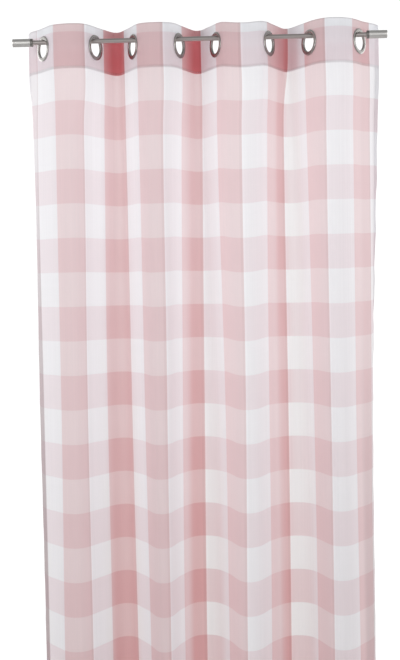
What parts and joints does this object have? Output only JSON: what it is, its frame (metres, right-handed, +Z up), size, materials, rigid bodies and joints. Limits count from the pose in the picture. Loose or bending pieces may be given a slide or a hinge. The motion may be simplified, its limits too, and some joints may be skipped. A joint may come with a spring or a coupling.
{
  "type": "checked eyelet curtain with rod",
  "caption": "Light checked cotton curtain with a doubled heading and metal eyelets, hanging in soft folds from a thin plain rod with end caps.",
  "frame": {"origin": "middle of the rod's axis", "axes": "+X along the rod to the right, +Y to the back of the curtain, +Z up"},
  "size_m": [0.877, 0.1703, 2.415],
  "materials": {
    "check_cotton": "thin semi-sheer plain weave in white and rose checks, soft and matt",
    "eyelet_nickel": "satin nickel plate",
    "rod_steel": "brushed along the rod, satin"
  },
  "bodies": {
    "root": {"curtain_panel": "check_cotton", "eyelet_1": "eyelet_nickel", "eyelet_2": "eyelet_nickel", "eyelet_3": "eyelet_nickel", "eyelet_4": "eyelet_nickel", "eyelet_5": "eyelet_nickel", "eyelet_6": "eyelet_nickel", "eyelet_7": "eyelet_nickel", "eyelet_8": "eyelet_nickel", "rod": "rod_steel", "end_cap_left": "rod_steel", "end_cap_right": "rod_steel"}
  },
  "joints": []
}
